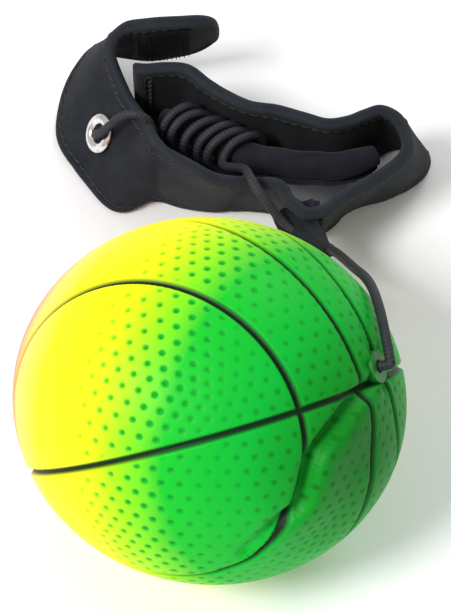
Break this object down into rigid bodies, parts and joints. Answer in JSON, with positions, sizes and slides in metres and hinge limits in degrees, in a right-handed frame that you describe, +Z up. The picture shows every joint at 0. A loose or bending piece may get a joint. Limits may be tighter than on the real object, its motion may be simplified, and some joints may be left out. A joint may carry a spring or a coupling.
{
  "type": "wrist return ball",
  "caption": "Soft hollow ball on a thin elastic cord, stored in its crumpled hook-and-loop wristband; the cord leaves a metal eyelet and is wound on a cloth roll inside the loop.",
  "frame": {"origin": "middle of the footprint of the ball and the wristband, on the surface that they lie on", "axes": "+Z up, +Y from the ball towards the wristband, +X to the right as seen from the ball"},
  "size_m": [0.0812, 0.1396, 0.0651],
  "materials": {
    "band_cloth": "matt charcoal knitted cloth, slightly mottled",
    "band_foam": "thin foam padding, hidden between the cloths",
    "lining_cloth": "matt black brushed cloth",
    "hem_tape": "matt black bound edge with a slightly shiny rim",
    "hook_tape": "black hook tape",
    "loop_tape": "black brushed loop tape",
    "thread": "black sewing thread",
    "eyelet_metal": "bright nickel plate",
    "cord_elastic": "black braided elastic",
    "ball_rubber": "satin rubber, green fading through lime and yellow to an orange and pink edge, dimpled",
    "plug_rubber": "satin green rubber",
    "disc_plastic": "off-white plastic"
  },
  "bodies": {
    "band": {"band_outer": "band_cloth", "band_core": "band_foam", "band_lining": "lining_cloth", "band_bottom_hem": "hem_tape", "band_top_hem": "hem_tape", "band_tail_hem": "hem_tape", "eyelet": "eyelet_metal", "eyelet_washer": "eyelet_metal", "eyelet_knot": "cord_elastic", "loop_patch": "loop_tape", "tail_bar_tack": "thread", "inner_roll": "lining_cloth", "cord_coil": "cord_elastic", "cord_lead": "cord_elastic", "cord_neck": "cord_elastic"},
    "flap": {"flap_outer": "band_cloth", "flap_core": "band_foam", "flap_lining": "lining_cloth", "flap_hem": "hem_tape", "flap_hook_patch": "hook_tape", "flap_bar_tack": "thread"},
    "cord_tip": {"cord_tip": "cord_elastic"},
    "anchor": {"anchor_disc": "disc_plastic", "anchor_knot": "cord_elastic", "cord_through_plug": "cord_elastic"},
    "ball": {"ball_shell": "ball_rubber", "ball_plug": "plug_rubber"}
  },
  "joints": [
    {"name": "flap_peel", "type": "hinge", "parent": "band", "child": "flap", "pos_m": [-0.02809, 0.06182, 0.01557], "axis": [0.2001, -0.57, 0.7969], "range_deg": [-20, 40]},
    {"name": "cord_stretch", "type": "slide", "parent": "band", "child": "cord_tip", "axis": [0.235, -0.972, 0], "range_m": [0, 0.08], "stiffness_N_per_m": 40, "deforming": ["cord_neck"]},
    {"name": "ball_swing", "type": "hinge", "parent": "cord_tip", "child": "anchor", "pos_m": [0.02539, -0.04123, 0.05027], "axis": [-0.5024, -0.2612, 0.8242], "range_deg": [0, 90]},
    {"name": "ball_spin", "type": "hinge", "parent": "anchor", "child": "ball", "pos_m": [-0.00563, -0.03727, 0.03262], "axis": [0.8638, -0.1103, 0.4916], "continuous": true}
  ]
}
